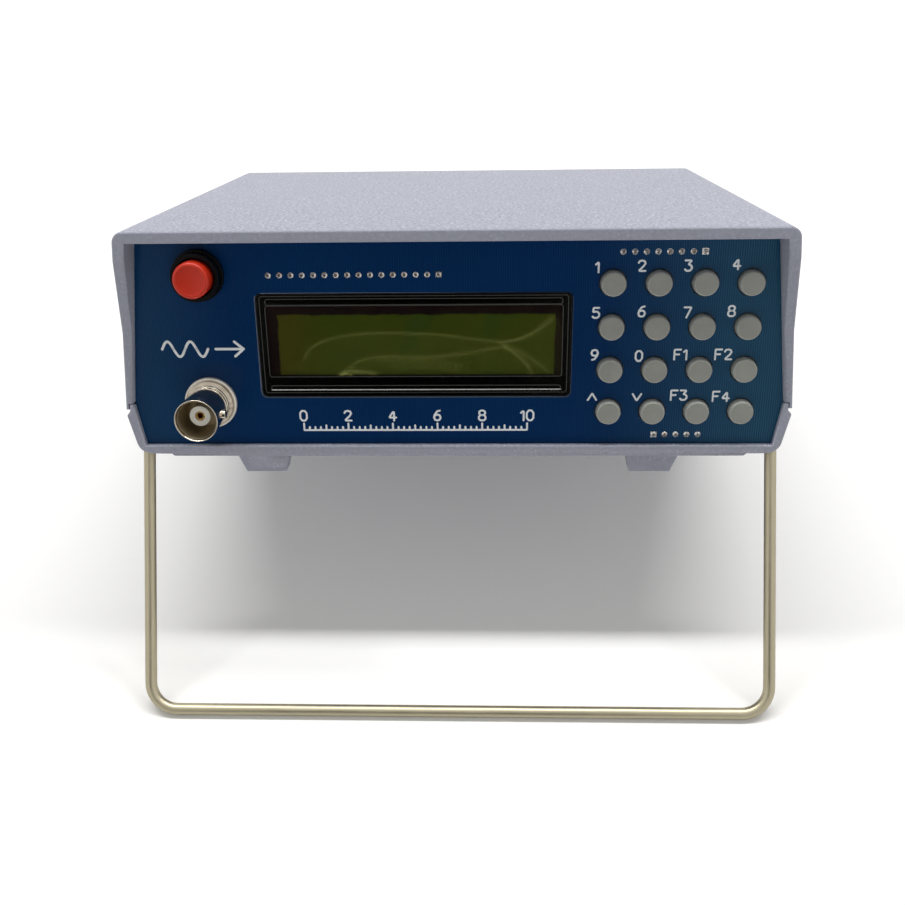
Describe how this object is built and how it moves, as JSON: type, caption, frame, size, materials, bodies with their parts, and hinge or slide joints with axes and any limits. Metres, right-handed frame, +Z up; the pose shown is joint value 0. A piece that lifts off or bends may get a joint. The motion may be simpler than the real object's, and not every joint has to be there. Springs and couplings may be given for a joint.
{
  "type": "rf signal generator",
  "caption": "Small bench signal instrument in a grey two-part case, tipped back on a folding wire bail, with display, round keys, push power button and bayonet output socket.",
  "frame": {"origin": "middle of the footprint, on the bench that the bail and the rear feet stand on", "axes": "+X to the right as seen from the front, +Y to the back, +Z up"},
  "size_m": [0.1538, 0.1744, 0.1006],
  "materials": {
    "shell_plastic": "grey moulded plastic with a fine pebble grain",
    "panel_board": "blue solder mask over fine copper lines",
    "rear_plastic": "black plastic plate",
    "bail_wire": "plated steel wire",
    "display_frame": "black pressed sheet metal",
    "display_glass": "green display glass under a wrinkled film",
    "diffuser": "white diffuser",
    "green_board": "green circuit board",
    "header_plastic": "black moulded plastic",
    "solder": "tinned metal",
    "key_plastic": "grey plastic",
    "switch_plastic": "black plastic",
    "button_plastic": "red plastic",
    "socket_plating": "nickel plate",
    "socket_insulator": "white insulator",
    "socket_contact": "gold-coloured plate",
    "screw_steel": "plated steel",
    "lead_jacket": "flexible insulation"
  },
  "bodies": {
    "case": {"top_cover": "shell_plastic", "bottom_shell": "shell_plastic", "front_panel": "panel_board", "rear_panel": "rear_plastic", "lcd_frame": "display_frame", "lcd_glass": "display_glass", "lcd_backlight": "diffuser", "lcd_board": "green_board", "lcd_header_strip": "header_plastic", "lcd_header_pins": "solder", "keypad_board": "green_board", "key_switches": "header_plastic", "keypad_header_strip": "header_plastic", "keypad_header_pins": "solder", "data_header_strip": "header_plastic", "data_header_pins": "solder", "power_switch_collar": "switch_plastic", "power_switch_nut": "socket_plating", "power_switch_body": "header_plastic", "power_switch_tags": "solder", "bnc_shell": "socket_plating", "bnc_insulator": "socket_insulator", "bnc_contact": "socket_contact", "bnc_washer": "socket_plating", "bnc_nut": "socket_plating", "inlet_body": "switch_plastic", "inlet_pin": "socket_plating", "inlet_nut": "switch_plastic", "main_board": "green_board", "shield_can": "solder", "board_parts": "header_plastic", "board_screws": "screw_steel", "case_screws": "screw_steel", "rf_lead": "lead_jacket", "power_lead": "lead_jacket", "inlet_lead": "lead_jacket", "data_ribbon": "lead_jacket"},
    "key_1": {"key_1": "key_plastic"},
    "key_2": {"key_2": "key_plastic"},
    "key_3": {"key_3": "key_plastic"},
    "key_4": {"key_4": "key_plastic"},
    "key_5": {"key_5": "key_plastic"},
    "key_6": {"key_6": "key_plastic"},
    "key_7": {"key_7": "key_plastic"},
    "key_8": {"key_8": "key_plastic"},
    "key_9": {"key_9": "key_plastic"},
    "key_0": {"key_0": "key_plastic"},
    "key_f1": {"key_f1": "key_plastic"},
    "key_f2": {"key_f2": "key_plastic"},
    "key_up": {"key_up": "key_plastic"},
    "key_down": {"key_down": "key_plastic"},
    "key_f3": {"key_f3": "key_plastic"},
    "key_f4": {"key_f4": "key_plastic"},
    "power_button": {"power_button": "button_plastic"},
    "tilt_bail": {"tilt_bail": "bail_wire"}
  },
  "joints": [
    {"name": "bail_pivot", "type": "hinge", "parent": "case", "child": "tilt_bail", "pos_m": [0, -0.04044, 0.05069], "axis": [1, 0, 0], "range_deg": [0, 104.62]},
    {"name": "key_1_press", "type": "slide", "parent": "case", "child": "key_1", "axis": [0, 0.9216, -0.3881], "range_m": [0, 0.0005], "stiffness_N_per_m": 2000},
    {"name": "key_2_press", "type": "slide", "parent": "case", "child": "key_2", "axis": [0, 0.9216, -0.3881], "range_m": [0, 0.0005], "stiffness_N_per_m": 2000},
    {"name": "key_3_press", "type": "slide", "parent": "case", "child": "key_3", "axis": [0, 0.9216, -0.3881], "range_m": [0, 0.0005], "stiffness_N_per_m": 2000},
    {"name": "key_4_press", "type": "slide", "parent": "case", "child": "key_4", "axis": [0, 0.9216, -0.3881], "range_m": [0, 0.0005], "stiffness_N_per_m": 2000},
    {"name": "key_5_press", "type": "slide", "parent": "case", "child": "key_5", "axis": [0, 0.9216, -0.3881], "range_m": [0, 0.0005], "stiffness_N_per_m": 2000},
    {"name": "key_6_press", "type": "slide", "parent": "case", "child": "key_6", "axis": [0, 0.9216, -0.3881], "range_m": [0, 0.0005], "stiffness_N_per_m": 2000},
    {"name": "key_7_press", "type": "slide", "parent": "case", "child": "key_7", "axis": [0, 0.9216, -0.3881], "range_m": [0, 0.0005], "stiffness_N_per_m": 2000},
    {"name": "key_8_press", "type": "slide", "parent": "case", "child": "key_8", "axis": [0, 0.9216, -0.3881], "range_m": [0, 0.0005], "stiffness_N_per_m": 2000},
    {"name": "key_9_press", "type": "slide", "parent": "case", "child": "key_9", "axis": [0, 0.9216, -0.3881], "range_m": [0, 0.0005], "stiffness_N_per_m": 2000},
    {"name": "key_0_press", "type": "slide", "parent": "case", "child": "key_0", "axis": [0, 0.9216, -0.3881], "range_m": [0, 0.0005], "stiffness_N_per_m": 2000},
    {"name": "key_f1_press", "type": "slide", "parent": "case", "child": "key_f1", "axis": [0, 0.9216, -0.3881], "range_m": [0, 0.0005], "stiffness_N_per_m": 2000},
    {"name": "key_f2_press", "type": "slide", "parent": "case", "child": "key_f2", "axis": [0, 0.9216, -0.3881], "range_m": [0, 0.0005], "stiffness_N_per_m": 2000},
    {"name": "key_up_press", "type": "slide", "parent": "case", "child": "key_up", "axis": [0, 0.9216, -0.3881], "range_m": [0, 0.0005], "stiffness_N_per_m": 2000},
    {"name": "key_down_press", "type": "slide", "parent": "case", "child": "key_down", "axis": [0, 0.9216, -0.3881], "range_m": [0, 0.0005], "stiffness_N_per_m": 2000},
    {"name": "key_f3_press", "type": "slide", "parent": "case", "child": "key_f3", "axis": [0, 0.9216, -0.3881], "range_m": [0, 0.0005], "stiffness_N_per_m": 2000},
    {"name": "key_f4_press", "type": "slide", "parent": "case", "child": "key_f4", "axis": [0, 0.9216, -0.3881], "range_m": [0, 0.0005], "stiffness_N_per_m": 2000},
    {"name": "power_button_press", "type": "slide", "parent": "case", "child": "power_button", "axis": [0, 0.9216, -0.3881], "range_m": [0, 0.0025], "stiffness_N_per_m": 1200}
  ]
}
